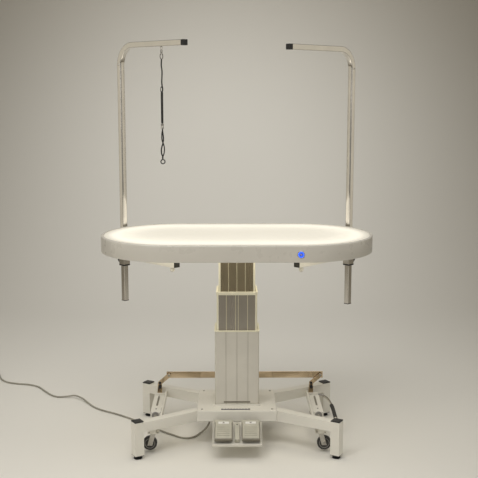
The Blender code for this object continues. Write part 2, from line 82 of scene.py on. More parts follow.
def make_studio():
    """The world, the lights, and the three cards that the steel tubes reflect."""
    world = bpy.data.worlds.new("studio")
    world.use_nodes = True
    background = world.node_tree.nodes["Background"]
    background.inputs["Color"].default_value = (0.83, 0.81, 0.76, 1.0)
    background.inputs["Strength"].default_value = 0.28
    bpy.context.scene.world = world
    bpy.context.scene.view_settings.view_transform = "Standard"
    area_light("overhead", (0.0, 0.1, 4.0), (0, 0.3, 0.0), (4.2, 3.0), 46, (1.0, 0.98, 0.94))
    area_light("front_high", (-0.5, -2.3, 3.8), (0, -0.1, 0.1), (3.2, 1.4), 55, (1.0, 0.97, 0.92))
    area_light("key", (-2.3, -2.9, 2.3), (0, 0, 0.8), (1.0, 2.4), 20)
    area_light("fill", (2.7, -2.6, 1.6), (0, 0, 0.6), (0.7, 2.0), 3)
    area_light("wall_wash", (0.0, 3.1, 3.2), (0, 5.4, 0.9), (3.6, 0.8), 20, (1.0, 0.98, 0.95))
    area_light("under_glow", (0.0, 0.0, 0.858), (0, 0, 0), (0.9, 0.4), 1.5, (1.0, 0.93, 0.78))
    for name, size, place, cloth in (("flag_left", (0.02, 3.2, 4.6), (-4.9, 0.4, 2.4), FLAG),
                                     ("flag_right", (0.02, 3.2, 4.6), (4.9, 0.4, 2.4), FLAG),
                                     ("flag_front", (2.6, 0.02, 2.8), (0.0, -6.2, 1.6), BLACK_CLOTH)):
        bm = bmesh.new()
        bmesh.ops.create_cube(bm, size=1.0)
        bmesh.ops.scale(bm, vec=size, verts=bm.verts)
        new_object(name, bm, cloth, place=Matrix.Translation(place))


def make_floor():
    """A floor that curves up into a backdrop."""
    bend_start, bend_radius, half_width = 2.4, 3.0, 9.0
    profile = [(-8.0, 0.0), (bend_start, 0.0)]
    for k in range(1, 49):
        angle = math.pi / 2 * k / 48
        profile.append((bend_start + bend_radius * math.sin(angle), bend_radius * (1 - math.cos(angle))))
    profile.append((bend_start + bend_radius, 8.0))
    bm = bmesh.new()
    rows = [[bm.verts.new((x, y, z - 0.0004)) for y, z in profile] for x in (-half_width, half_width)]
    for k in range(len(profile) - 1):
        bm.faces.new((rows[0][k], rows[1][k], rows[1][k + 1], rows[0][k + 1]))
    floor = new_object("studio_floor", bm, STUDIO, smooth=True)


# ---------------------------------------------------------------- materials

def principled(name, colour, roughness, metallic=0.0):
    made = bpy.data.materials.new(name)
    made.use_nodes = True
    shader = made.node_tree.nodes["Principled BSDF"]
    shader.inputs["Base Color"].default_value = (*colour, 1.0)
    shader.inputs["Roughness"].default_value = roughness
    shader.inputs["Metallic"].default_value = metallic
    return made, made.node_tree, shader


def noise(tree, scale, detail=3.0, stretch=(1, 1, 1)):
    where = tree.nodes.new("ShaderNodeTexCoord")
    mapping = tree.nodes.new("ShaderNodeMapping")
    mapping.inputs["Scale"].default_value = stretch
    made = tree.nodes.new("ShaderNodeTexNoise")
    made.inputs["Scale"].default_value = scale
    made.inputs["Detail"].default_value = detail
    tree.links.new(where.outputs["Object"], mapping.inputs["Vector"])
    tree.links.new(mapping.outputs["Vector"], made.inputs["Vector"])
    return made.outputs["Fac"]


def spread(tree, source, low, high):
    made = tree.nodes.new("ShaderNodeMapRange")
    made.inputs["From Min"].default_value = 0.3
    made.inputs["From Max"].default_value = 0.7
    made.inputs["To Min"].default_value = low
    made.inputs["To Max"].default_value = high
    tree.links.new(source, made.inputs["Value"])
    return made.outputs["Result"]


def tint(tree, source, first, second):
    made = tree.nodes.new("ShaderNodeMix")
    made.data_type = "RGBA"
    made.inputs[6].default_value = (*first, 1.0)
    made.inputs[7].default_value = (*second, 1.0)
    tree.links.new(source, made.inputs["Factor"])
    return made.outputs[2]


def finish_material(name, colour, roughness, metallic=0.0, shade=0.90, patch=6.0, grain=900.0,
                    bump=0.08, depth=0.0002, swing=0.05, coat=0.0, stretch=(1, 1, 1)):
    """A material whose colour drifts in wide patches and whose roughness and surface carry a fine grain."""
    made, tree, shader = principled(name, colour, roughness, metallic)
    darker = tuple(c * shade for c in colour)
    patches = spread(tree, noise(tree, patch, 4.0), 0.0, 1.0)
    tree.links.new(tint(tree, patches, colour, darker), shader.inputs["Base Color"])
    fine = noise(tree, grain, 2.0, stretch)
    rough = spread(tree, noise(tree, patch * 4, 5.0, stretch), max(roughness - swing, 0.02),
                   roughness + swing)
    tree.links.new(rough, shader.inputs["Roughness"])
    bumps = tree.nodes.new("ShaderNodeBump")
    bumps.inputs["Strength"].default_value = bump
    bumps.inputs["Distance"].default_value = depth
    tree.links.new(fine, bumps.inputs["Height"])
    tree.links.new(bumps.outputs["Normal"], shader.inputs["Normal"])
    if coat:
        shader.inputs["Coat Weight"].default_value = coat
        shader.inputs["Coat Roughness"].default_value = 0.12
    return made


def lit_panel_material():
    """Edge-lit acrylic: brightest in a band along its rim, calmer towards the middle."""
    made, tree, shader = principled("lit_acrylic", (0.86, 0.83, 0.74), 0.34)
    where = tree.nodes.new("ShaderNodeTexCoord")
    parts = tree.nodes.new("ShaderNodeSeparateXYZ")
    tree.links.new(where.outputs["Object"], parts.inputs[0])

    def calc(operation, first, second=0.0):
        made = tree.nodes.new("ShaderNodeMath")
        made.operation = operation
        for slot, value in zip(made.inputs, (first, second)):
            if isinstance(value, float):
                slot.default_value = value
            else:
                tree.links.new(value, slot)
        return made.outputs[0]

    beyond = calc("MAXIMUM", calc("SUBTRACT", calc("ABSOLUTE", parts.outputs["X"]),
                                  TOP_HALF_LENGTH - TOP_HALF_WIDTH))
    radius = calc("SQRT", calc("ADD", calc("MULTIPLY", beyond, beyond),
                               calc("MULTIPLY", parts.outputs["Y"], parts.outputs["Y"])))
    share = calc("DIVIDE", radius, TOP_HALF_WIDTH)
    ramp = tree.nodes.new("ShaderNodeValToRGB")
    ramp.color_ramp.interpolation = "B_SPLINE"
    stops = ((0.0, 0.20), (0.45, 0.22), (0.72, 0.44), (0.82, 0.50), (0.89, 0.22), (0.96, 0.03))
    for place, level in stops[2:]:
        ramp.color_ramp.elements.new(place)
    for element, (place, level) in zip(ramp.color_ramp.elements, stops):
        element.position = place
        element.color = (level, level, level, 1.0)
    tree.links.new(share, ramp.inputs["Fac"])
    cloudy = spread(tree, noise(tree, 3.0, 2.0), -0.02, 0.02)
    strength = calc("ADD", ramp.outputs["Color"], cloudy)
    shader.inputs["Emission Color"].default_value = (1.0, 0.93, 0.78, 1.0)
    tree.links.new(strength, shader.inputs["Emission Strength"])
    return made


def backdrop_material():
    """Pale paper with painted shade: a warmer, darker tone away from the middle of the picture."""
    made, tree, shader = principled("studio_paper", (0.80, 0.78, 0.73), 0.9)
    where = tree.nodes.new("ShaderNodeTexCoord")
    shifted = tree.nodes.new("ShaderNodeMapping")
    shifted.inputs["Location"].default_value = (0.12, 0.0, -0.59)
    shifted.inputs["Scale"].default_value = (0.74, 0.0, 0.84)
    tree.links.new(where.outputs["Object"], shifted.inputs["Vector"])
    apart = tree.nodes.new("ShaderNodeSeparateXYZ")
    tree.links.new(shifted.outputs["Vector"], apart.inputs[0])
    above = tree.nodes.new("ShaderNodeMath")
    above.operation = "MAXIMUM"
    above.inputs[1].default_value = 0.0
    tree.links.new(apart.outputs["Z"], above.inputs[0])
    joined = tree.nodes.new("ShaderNodeCombineXYZ")
    tree.links.new(apart.outputs["X"], joined.inputs["X"])
    tree.links.new(above.outputs[0], joined.inputs["Y"])
    distance = tree.nodes.new("ShaderNodeVectorMath")
    distance.operation = "LENGTH"
    tree.links.new(joined.outputs["Vector"], distance.inputs[0])
    painted_shade_ramp = tree.nodes.new("ShaderNodeMapRange")
    painted_shade_ramp.interpolation_type = "SMOOTHSTEP"
    painted_shade_ramp.inputs["From Min"].default_value = 0.3
    painted_shade_ramp.inputs["From Max"].default_value = 2.9
    tree.links.new(distance.outputs["Value"], painted_shade_ramp.inputs["Value"])
    tree.links.new(tint(tree, painted_shade_ramp.outputs["Result"], (0.84, 0.82, 0.765), (0.36, 0.33, 0.275)),
                   shader.inputs["Base Color"])
    return made


def braid_material(name, colour, scale):
    """Braided nylon: a fine bumped grain stands for the strands."""
    made = finish_material(name, colour, 0.62, shade=0.6, patch=60.0, grain=scale, bump=0.6, depth=0.0006)
    return made


TOP_HALF_LENGTH = 0.600
TOP_HALF_WIDTH = 0.330

BLACK_CLOTH = finish_material("studio_black_cloth", (0.03, 0.028, 0.025), 0.9, patch=3.0, bump=0.02)
STUDIO = backdrop_material()
PAINT = finish_material("cream_powder_coat", (0.81, 0.785, 0.71), 0.36, shade=0.95, patch=5.0, grain=1400.0,
                        bump=0.10, coat=0.15)
# The rim band is the same white paint as the rest, darkened as painted shade.
BAND_PAINTED_SHADE = finish_material("band_paint_with_painted_shade", (0.66, 0.63, 0.565), 0.30, shade=0.96, patch=5.0, grain=1400.0,
                             bump=0.08,
                             coat=0.25)
PANEL = lit_panel_material()
# One satin aluminium for all three column stages; the middle and inner copies are darker and browner as
# painted shade under the tabletop.
SATIN = finish_material("satin_aluminium", (0.70, 0.67, 0.60), 0.36, 0.25, shade=0.90, patch=8.0, grain=500.0,
                        bump=0.10, stretch=(1, 1, 0.02))
MIDDLE_SATIN_PAINTED_SHADE = finish_material("satin_aluminium_shaded", (0.35, 0.32, 0.275), 0.30, 0.65, shade=0.86,
                               patch=8.0,
                               grain=500.0, bump=0.10, stretch=(1, 1, 0.02))
INNER_SATIN_PAINTED_SHADE = finish_material("satin_aluminium_painted_deep_shade", (0.28, 0.235, 0.155), 0.28, 0.65, shade=0.84,
                              patch=8.0,
                              grain=500.0, bump=0.10, stretch=(1, 1, 0.02))
GROOVE = finish_material("groove_shadow", (0.50, 0.47, 0.40), 0.45, shade=0.9, patch=8.0, bump=0.05)
# Dark steel for the snap hook and its gate.
HOOK_STEEL = finish_material("dark_hook_steel", (0.30, 0.28, 0.25), 0.28, 1.0, shade=0.75, patch=60.0,
                             grain=900.0,
                             bump=0.08)
# Cream trim plastic, also laid on the column profiles as a painted highlight.
CREAM_TRIM_AND_HIGHLIGHT = finish_material("cream_trim_plastic_and_painted_highlight", (0.88, 0.84, 0.67), 0.4, shade=0.95, patch=20.0,
                             grain=1500.0,
                             bump=0.1)
CHROME = finish_material("chrome", (0.80, 0.77, 0.72), 0.10, 1.0, shade=0.93, patch=14.0, grain=700.0,
                         bump=0.02, swing=0.03)
STEEL = finish_material("mirror_steel", (0.70, 0.56, 0.40), 0.14, 1.0, shade=0.85, patch=10.0, grain=600.0,
                        bump=0.03, stretch=(0.03, 1, 1))
ZINC = finish_material("zinc_plate", (0.52, 0.50, 0.46), 0.30, 0.9, shade=0.8, patch=40.0, grain=900.0,
                       bump=0.1)
BLACK = finish_material("black_plastic", (0.018, 0.018, 0.018), 0.42, shade=0.7, patch=30.0, grain=1600.0,
                        bump=0.25, depth=0.0003)
GREY = finish_material("grey_pedal_plastic", (0.54, 0.52, 0.435), 0.5, shade=0.86, patch=25.0, grain=1500.0,
                       bump=0.3, depth=0.0003)
# Dark colour: print on the arrow marks, and painted shade on the pedal bodies under the pads' lips and in the
# slots.
DARK_INK_AND_SHADE = finish_material("dark_ink_and_painted_shade", (0.24, 0.22, 0.175), 0.5, shade=0.8, patch=25.0, grain=1500.0,
                       bump=0.3)
TYRE = finish_material("tyre_rubber", (0.055, 0.053, 0.05), 0.6, shade=0.75, patch=40.0, grain=1200.0,
                       bump=0.3)
HUB = finish_material("hub_plastic", (0.30, 0.29, 0.27), 0.4, shade=0.85, patch=30.0, grain=1500.0, bump=0.15)
SHEATH = finish_material("cord_sheath", (0.36, 0.34, 0.28), 0.5, shade=0.8, patch=30.0, grain=1200.0,
                         bump=0.2)
BRAID = braid_material("braided_nylon", (0.022, 0.020, 0.018), 1500.0)
LABEL = finish_material("label_film", (0.03, 0.03, 0.055), 0.35, shade=0.8, patch=30.0, bump=0.05)
WHITE_INK = finish_material("white_ink", (0.85, 0.84, 0.80), 0.5, shade=0.95, patch=60.0, bump=0.05)


def glow_material(name, colour, light, strength):
    made = finish_material(name, colour, 0.25, shade=0.9, patch=60.0, bump=0.02)
    shader = made.node_tree.nodes["Principled BSDF"]
    shader.inputs["Emission Color"].default_value = (*light, 1.0)
    shader.inputs["Emission Strength"].default_value = strength
    return made


FLAG = glow_material("reflector_card", (0.72, 0.69, 0.61), (0.95, 0.90, 0.78), 0.30)
BLUE_GLOW = glow_material("blue_ring_light", (0.02, 0.06, 0.60), (0.03, 0.12, 1.0), 1.6)
BLUE_CAP = glow_material("blue_cap", (0.02, 0.04, 0.32), (0.02, 0.05, 0.6), 0.25)
LED = glow_material("led_strip", (0.95, 0.92, 0.80), (1.0, 0.9, 0.7), 2.0)


# ---------------------------------------------------------------- mesh helpers

def new_object(name, bm, material, smooth=False, place=None, bevel=0.0, segments=2):
    bmesh.ops.recalc_face_normals(bm, faces=bm.faces)
    mesh = bpy.data.meshes.new(name)
    bm.to_mesh(mesh)
    bm.free()
    if place is not None:
        mesh.transform(place)
    mesh.materials.append(material)
    obj = bpy.data.objects.new(name, mesh)
    bpy.context.scene.collection.objects.link(obj)
    if bevel:
        modifier = obj.modifiers.new("edges", "BEVEL")
        modifier.width = bevel
        modifier.segments = segments
        modifier.limit_method = "ANGLE"
        modifier.angle_limit = math.radians(30)
        modifier.harden_normals = True
    if smooth or bevel:
        mesh.shade_smooth()
        mesh.set_sharp_from_angle(angle=math.radians(38))
    return obj


def riding(obj, body, replaces=()):
    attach(obj, body)
    if replaces:
        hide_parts(*replaces)
    return obj


def loft(bm, loops, closed=False):
    rings = [[bm.verts.new(point) for point in loop] for loop in loops]
    pairs = list(zip(rings, rings[1:]))
    if closed:
        pairs.append((rings[-1], rings[0]))
    for low, high in pairs:
        for i, vert in enumerate(low):
            j = (i + 1) % len(low)
            bm.faces.new((vert, low[j], high[j], high[i]))
    if not closed:
        bm.faces.new(list(reversed(rings[0])))
        bm.faces.new(rings[-1])
    return bm


def turned(name, profile, material, body, place=None, segments=48, replaces=()):
    """Spins (radius, height) points about the local Z axis, then sets the result in place."""
    bm = bmesh.new()
    loops = []
    for radius, height in profile:
        angles = [2 * math.pi * k / segments for k in range(segments)]
        loops.append([(radius * math.cos(a), radius * math.sin(a), height) for a in angles])
    loft(bm, loops)
    return riding(new_object(name, bm, material, smooth=True, place=place), body, replaces)


def block(name, size, centre, material, body, bevel=0.001, place=None, replaces=()):
    bm = bmesh.new()
    bmesh.ops.create_cube(bm, size=1.0)
    bmesh.ops.scale(bm, vec=size, verts=bm.verts)
    matrix = Matrix.Translation(centre)
    matrix = place @ matrix if place is not None else matrix
    return riding(new_object(name, bm, material, place=matrix, bevel=bevel), body, replaces)


def torus(name, ring, tube, material, body, place=None, steps=48, sides=12):
    bm = bmesh.new()
    loops = []
    for k in range(steps):
        angle = 2 * math.pi * k / steps
        out = Vector((math.cos(angle), math.sin(angle), 0))
        turns = [2 * math.pi * j / sides for j in range(sides)]
        loops.append([out * (ring + tube * math.cos(b)) + Vector((0, 0, tube * math.sin(b))) for b in turns])
    return riding(new_object(name, loft(bm, loops, closed=True), material, smooth=True, place=place), body)


def aimed(place, direction):
    """A placement whose local +Z points along direction."""
    return Matrix.Translation(place) @ Vector(direction).to_track_quat("Z", "Y").to_matrix().to_4x4()


def softened(node, material, width, segments=2):
    """A copy of a CAD node with clean flat faces and rounded edges, which then stands for the node."""
    bm = bmesh.new()
    bm.from_mesh(NODES[node].data)
    bmesh.ops.remove_doubles(bm, verts=bm.verts, dist=1e-5)
    bmesh.ops.dissolve_limit(bm, angle_limit=math.radians(1), verts=bm.verts, edges=bm.edges)
    obj = new_object(node + "_skin", bm, material, bevel=width, segments=segments)
    return riding(obj, BODY_OF[node], (node,))


def drill(obj, start, direction, radius, depth):
    """Cuts a round hole into a mesh."""
    bm = bmesh.new()
    bmesh.ops.create_cone(bm, cap_ends=True, segments=48, radius1=radius, radius2=radius, depth=depth)
    cutter = new_object("drill", bm, BLACK, place=aimed(start,
                                                        direction) @ Matrix.Translation((0, 0, depth / 2)))
    modifier = obj.modifiers.new("hole", "BOOLEAN")
    modifier.operation = "DIFFERENCE"
    modifier.solver = "EXACT"
    modifier.object = cutter
    cut = bpy.data.meshes.new_from_object(obj.evaluated_get(bpy.context.evaluated_depsgraph_get()))
    obj.modifiers.clear()
    obj.data = cut
    bpy.data.objects.remove(cutter)


def repaint(node, material):
    mesh = NODES[node].data
    for index in range(len(mesh.materials)):
        mesh.materials[index] = material


def bolt(name, place, direction, body, radius=0.004, height=0.0028, material=None):
    """A domed socket screw with a hexagonal recess."""
    bm = bmesh.new()
    steps = 24
    loops = []
    for r, h in ((radius, 0.0), (radius, height * 0.6), (radius * 0.8, height), (radius * 0.5, height)):
        loops.append([(r * math.cos(2 * math.pi * k / steps), r * math.sin(2 * math.pi * k / steps), h)
                      for k in range(steps)])
    for depth in (height, height * 0.35):
        loops.append([(radius * 0.42 * math.cos(math.pi / 3 * round(6 * k / steps)),
                       radius * 0.42 * math.sin(math.pi / 3 * round(6 * k / steps)),
                       depth) for k in range(steps)])
    loft(bm, loops)
    bmesh.ops.remove_doubles(bm, verts=bm.verts, dist=1e-6)
    bmesh.ops.dissolve_degenerate(bm, edges=bm.edges, dist=1e-6)
    obj = new_object(name, bm, material or ZINC, smooth=True, place=aimed(place, direction))
    return riding(obj, body)


def racetrack(half_length, half_width, steps=72):
    """(point, outward normal) pairs round a straight-sided outline with half-circle ends."""
    centre = half_length - half_width
    found = []
    for side in (1, -1):
        for k in range(steps + 1):
            angle = math.pi * k / steps - side * math.pi / 2
            normal = Vector((math.cos(angle), math.sin(angle), 0))
            found.append((Vector((side * centre, 0, 0)) + normal * half_width, normal))
    return found


def rounded_rectangle(width, depth, radius, steps=6):
    found = []
    for sx, sy, start in ((1, -1, -90), (1, 1, 0), (-1, 1, 90), (-1, -1, 180)):
        centre = Vector((sx * (width / 2 - radius), sy * (depth / 2 - radius), 0))
        for k in range(steps + 1):
            angle = math.radians(start + 90 * k / steps)
            normal = Vector((math.cos(angle), math.sin(angle), 0))
            found.append((centre + normal * radius, normal))
    return found


def swept_ring(name, outline, profile, material, body, replaces=()):
    """Carries a closed (inset, height) profile round an outline."""
    loops = [[point - normal * inset + Vector((0, 0, height)) for inset, height in profile]
             for point, normal in outline]
    obj = new_object(name, loft(bmesh.new(), loops, closed=True), material, smooth=True)
    return riding(obj, body, replaces)


def smooth_points(route, count):
    """Reads evenly spaced points from a smooth curve through the route."""
    points = [Vector(p) for p in route]
    fine = []
    for i in range(len(points) - 1):
        before = points[max(i - 1, 0)]
        after = points[min(i + 2, len(points) - 1)]
        start, end = points[i], points[i + 1]
        for k in range(12):
            t = k / 12
            leave, arrive = (end - before) / 2, (after - start) / 2
            fine.append((2 * t**3 - 3 * t**2 + 1) * start + (t**3 - 2 * t**2 + t) * leave
                        + (3 * t**2 - 2 * t**3) * end + (t**3 - t**2) * arrive)
    fine.append(points[-1])
    lengths = [0.0]
    for a, b in zip(fine, fine[1:]):
        lengths.append(lengths[-1] + (b - a).length)
    picked = []
    place = 0
    for k in range(count):
        wanted = lengths[-1] * k / (count - 1)
        while place < len(fine) - 2 and lengths[place + 1] < wanted:
            place += 1
        share = (wanted - lengths[place]) / max(lengths[place + 1] - lengths[place], 1e-9)
        picked.append(fine[place].lerp(fine[place + 1], min(share, 1.0)))
    return picked


def strand(name, points, radius, material, body, replaces=(), resolution=4):
    """A round cord on one open spline."""
    curve = bpy.data.curves.new(name, "CURVE")
    curve.dimensions = "3D"
    curve.bevel_depth = radius
    curve.bevel_resolution = resolution
    curve.use_fill_caps = True
    spline = curve.splines.new("POLY")
    spline.points.add(len(points) - 1)
    for place, point in zip(spline.points, points):
        place.co = (*point, 1.0)
    curve.materials.append(material)
    obj = bpy.data.objects.new(name, curve)
    bpy.context.scene.collection.objects.link(obj)
    return riding(obj, body, replaces)


# ---------------------------------------------------------------- cords

CORD_R = 0.004
CORD_ROUTE = [
    (-0.120, 0.075, 0.0957), (-0.120, 0.075, 0.075), (-0.123, 0.070, 0.050), (-0.134, 0.056, 0.026),
    (-0.150, 0.034, 0.012), (-0.170, 0.006, 0.0068), (-0.192, -0.030, 0.0048), (-0.222, -0.050, 0.0045),
    (-0.255, -0.040, 0.0045), (-0.300, -0.003, 0.0045), (-0.355, 0.048, 0.0045), (-0.420, 0.118, 0.0045),
    (-0.480, 0.178, 0.0045), (-0.535, 0.231, 0.0045), (-0.595, 0.280, 0.0045), (-0.660, 0.326, 0.0045),
    (-0.710, 0.376, 0.0045), (-0.752, 0.440, 0.006), (-0.790, 0.492, 0.012), (-0.832, 0.525, 0.014),
    (-0.880, 0.530, 0.007), (-0.925, 0.535, 0.0045), (-0.965, 0.570, 0.0045), (-1.005, 0.628, 0.0045),
    (-1.055, 0.700, 0.0045), (-1.115, 0.738, 0.0045), (-1.185, 0.756, 0.0045), (-1.245, 0.786, 0.0045),
    (-1.288, 0.845, 0.0045), (-1.318, 0.925, 0.0045), (-1.340, 0.975, 0.0045), (-1.3685, 1.005, 0.0045),
]
COIL_CENTRE = Vector((-1.425, 1.005))
COIL_R = 0.046
COIL_TURNS = 3.25
PLUG_AT = Vector((-1.468, 1.052, 0.0175))


def coil_points():
    """Two turns side by side on the floor and a third lying in the groove between them."""
    found = []
    steps = int(COIL_TURNS * 48)
    lanes = ((0.0042, 0.0045), (-0.0042, 0.0045), (0.0, 0.0122), (0.0, 0.0122))
    for k in range(3, steps + 1):
        turn = k / 48
        lane = int(turn)
        share = min((turn - lane) * 5.0, 1.0)
        share = share * share * (3 - 2 * share)
        before = lanes[lane - 1] if lane else (0.0095, 0.0045)
        inset = before[0] + (lanes[lane][0] - before[0]) * share
        height = before[1] + (lanes[lane][1] - before[1]) * share
        angle = 2 * math.pi * turn
        spot = COIL_CENTRE + Vector((math.cos(angle), math.sin(angle))) * (COIL_R + inset)
        found.append(Vector((*spot, height)))
    return found


def make_mains_lead():
    laid = smooth_points(CORD_ROUTE[:-1], 150)
    points = laid + coil_points() + [PLUG_AT + Vector((0.022, 0.0, -0.002)),
                                     PLUG_AT + Vector((0.010, 0.0, 0.0)),
                                     PLUG_AT]
    cord = strand("mains_lead", points, CORD_R, SHEATH, "base", ("mains_cord", "mains_coil"))
    along = (-1, 0, 0)
    shell = [(0.0045, -0.004), (0.0055, 0.0), (0.0068, 0.004), (0.0070, 0.008), (0.011, 0.012),
             (0.0155, 0.019),
             (0.0168, 0.024), (0.0168, 0.034), (0.0155, 0.0375), (0.012, 0.038)]
    plug = turned("plug_body", shell, BLACK, "base", aimed(PLUG_AT, along),
                  replaces=("mains_plug",))
    for name, offset in (("plug_pin_left", -0.0095), ("plug_pin_right", 0.0095)):
        pin = [(0.0024, 0.0), (0.0024, 0.016), (0.0018, 0.018), (0.0006, 0.0187)]
        turned(name, pin, CHROME, "base", aimed(PLUG_AT + Vector((-0.0379, offset, 0)), along),
                             segments=20)
    tie = torus("coil_tie", 0.0087, 0.0010, BLACK, "base",
                aimed((COIL_CENTRE.x, COIL_CENTRE.y - COIL_R, 0.0098), (1, 0, 0)))
    gland = [(0.0046, -0.001), (0.0058, 0.0)]
    for k in range(4):
        low = 0.002 + 0.0032 * k
        wide = 0.0064 + 0.0007 * k
        gland += [(wide, low), (wide, low + 0.0018), (wide - 0.0012, low + 0.0022),
                  (wide - 0.0010, low + 0.0030)]
    gland += [(0.0096, 0.0152), (0.0100, 0.0165), (0.0100, 0.0226)]
    turned("strain_relief", gland, BLACK, "base", Matrix.Translation((-0.120, 0.075, 0.0961)),
           replaces=("cord_gland",))


NOOSE_SPOT = Vector((-(0.531 - 0.286 * DIAGONAL), 0.264 - 0.286 * DIAGONAL))
ARM_TOP = {"left": 1.778, "right": 1.760}
TUBE = 0.025


def make_noose():
    under = ARM_TOP["left"] - TUBE - 0.0003
    x, y = NOOSE_SPOT
    body = "noose"
    top = under - 0.0553

    def at(z, dx=0.0, dy=0.0):
        return Vector((x + dx, y + dy, z))

    route = [at(top), at(1.672, -0.0012), at(1.648, 0.0016), at(1.625, 0.0012), at(1.600, 0.0),
             at(1.585, 0.0012),
             at(1.567, 0.0034, 0.001), at(1.551, 0.001), at(1.500, 0.0014), at(1.450, -0.0006),
             at(1.420, 0.0006),
             at(1.394, 0.0), at(1.370, 0.0028), at(1.348, 0.0040, 0.002), at(1.328, 0.0005, 0.003),
             at(1.308, -0.0052, 0.002), at(1.288, -0.0050), at(1.272, 0.0006, -0.001), at(1.2622)]
    points = smooth_points(route, 110)
    cord = strand("noose_strand", points, 0.003, BRAID, body, ("noose_cord",))
    other = [at(1.385, -0.001), at(1.365, -0.003), at(1.345, -0.0015, -0.003), at(1.325, 0.0058, -0.003),
             at(1.308, 0.0080), at(1.290, 0.0068), at(1.274, 0.0012, 0.002), at(1.266, -0.002)]
    loop = strand("noose_loop", smooth_points(other, 30), 0.0026, BRAID, body)
    strap = block("noose_stitched_strap", (0.0105, 0.0075, 0.134), at(1.488), BRAID, body, 0.0025)
    slide = turned("noose_slide_lock", [(0.0035, 0), (0.0062, 0.002), (0.0062, 0.010), (0.0050, 0.012),
                                        (0.0062, 0.014),
                                        (0.0062, 0.024), (0.0035, 0.026)],
                   ZINC, body, Matrix.Translation(at(1.394)))
    across = (0, 1, 0)
    oval = Matrix.Diagonal((0.55, 1.25, 1.0, 1.0))
    joiner = torus("noose_joining_loop", 0.0088, 0.0024, BRAID, body, aimed(at(1.567, -0.001), across) @ oval)
    end_ring = torus("noose_end_ring", 0.0092, 0.0024, BLACK, body, aimed(at(1.2505, 0.0008), across))
    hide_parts("noose_ring")
    make_snap_hook(under, at)


def make_snap_hook(under, at):
    """The hanger eye on the tube and the swivel snap that the noose hangs on."""
    body = "noose"
    torus("hanger_eye", 0.0065, 0.0015, CHROME, "arm_left", aimed(at(under - 0.0085), (1, 1, 0)))
    turned("hanger_foot", [(0.0050, -0.0014), (0.0050, -0.0004), (0.0044, 0.0002)], ZINC, "arm_left",
           Matrix.Translation(at(under)), segments=24)
    ring = torus("snap_ring", 0.0048, 0.0015, HOOK_STEEL, body, aimed(at(under - 0.0190), (-1, 1, 0)))
    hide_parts("noose_clip")
    turned("snap_swivel", [(0.0030, -0.0300), (0.0050, -0.0290), (0.0050, -0.0250), (0.0034, -0.0238),
                           (0.0020, -0.0232)],
           ZINC, body, Matrix.Translation(at(under)))
    hook = []
    for k in range(25):
        angle = math.radians(70 - 320 * k / 24)
        hook.append(at(under - 0.0420, 0.0060 * math.cos(angle)) + Vector((0, 0, 0.0118 * math.sin(angle))))
    strand("snap_hook", hook, 0.0019, HOOK_STEEL, body)
    strand("snap_gate", [at(under - 0.033, 0.0050), at(under - 0.042, 0.0062), at(under - 0.050, 0.0050)],
           0.0012,
           HOOK_STEEL, body)


# ---------------------------------------------------------------- tabletop

TOP_Z = 0.937
APRON_BOTTOM = 0.865
BUTTON_AT = Vector((0.262, -TOP_HALF_WIDTH, 0.8985))
BUTTON_HOLE = 0.0121
PANEL_INSET = 0.0126


def make_top():
    high, low = TOP_Z, APRON_BOTTOM
    edge = 0.006
    turns = [math.radians(90 * k / 5) for k in range(6)]
    profile = [(edge - edge * math.cos(turn), high - edge + edge * math.sin(turn)) for turn in turns]
    profile += [(0.0105, high), (0.0118, high - 0.0012), (0.0120, low + 0.002), (0.0112, low), (0.0022, low),
                (0.0006, low + 0.0008), (0.0, low + 0.003)]
    # The rim band wears the darker copy of the white paint, as painted shade.
    band = swept_ring("rim_band", racetrack(TOP_HALF_LENGTH, TOP_HALF_WIDTH), profile, BAND_PAINTED_SHADE, "table",
                      ("table_rim",))
    drill(band, (BUTTON_AT.x, BUTTON_AT.y - 0.01, BUTTON_AT.z), (0, 1, 0), BUTTON_HOLE, 0.03)
    outline = racetrack(TOP_HALF_LENGTH - PANEL_INSET, TOP_HALF_WIDTH - PANEL_INSET)
    loops = []
    for pull, height in ((0.0, 0.9271), (0.0, 0.9342), (0.0008, 0.9350)):
        loops.append([point - normal * pull + Vector((0, 0, height)) for point, normal in outline])
    panel = new_object("lit_panel", loft(bmesh.new(), loops), PANEL, smooth=True)
    riding(panel, "table", ("table_panel",))
    led = [(0.0136, 0.912), (0.0136, 0.922), (0.0166, 0.922), (0.0166, 0.912)]
    swept_ring("led_tape", racetrack(TOP_HALF_LENGTH, TOP_HALF_WIDTH), led, LED, "table")
    repaint("bed_plate", PAINT)
    softened("top_frame", PAINT, 0.002)
    make_power_button()
    for index, (x, y) in enumerate(((-0.42, -0.17), (0.42, -0.17), (-0.42, 0.17), (0.42, 0.17), (0.0, -0.17),
                                    (0.0, 0.17))):
        bolt(f"bed_screw_{index}", (x, y, APRON_BOTTOM + 0.0003), (0, 0, -1), "table", 0.005)


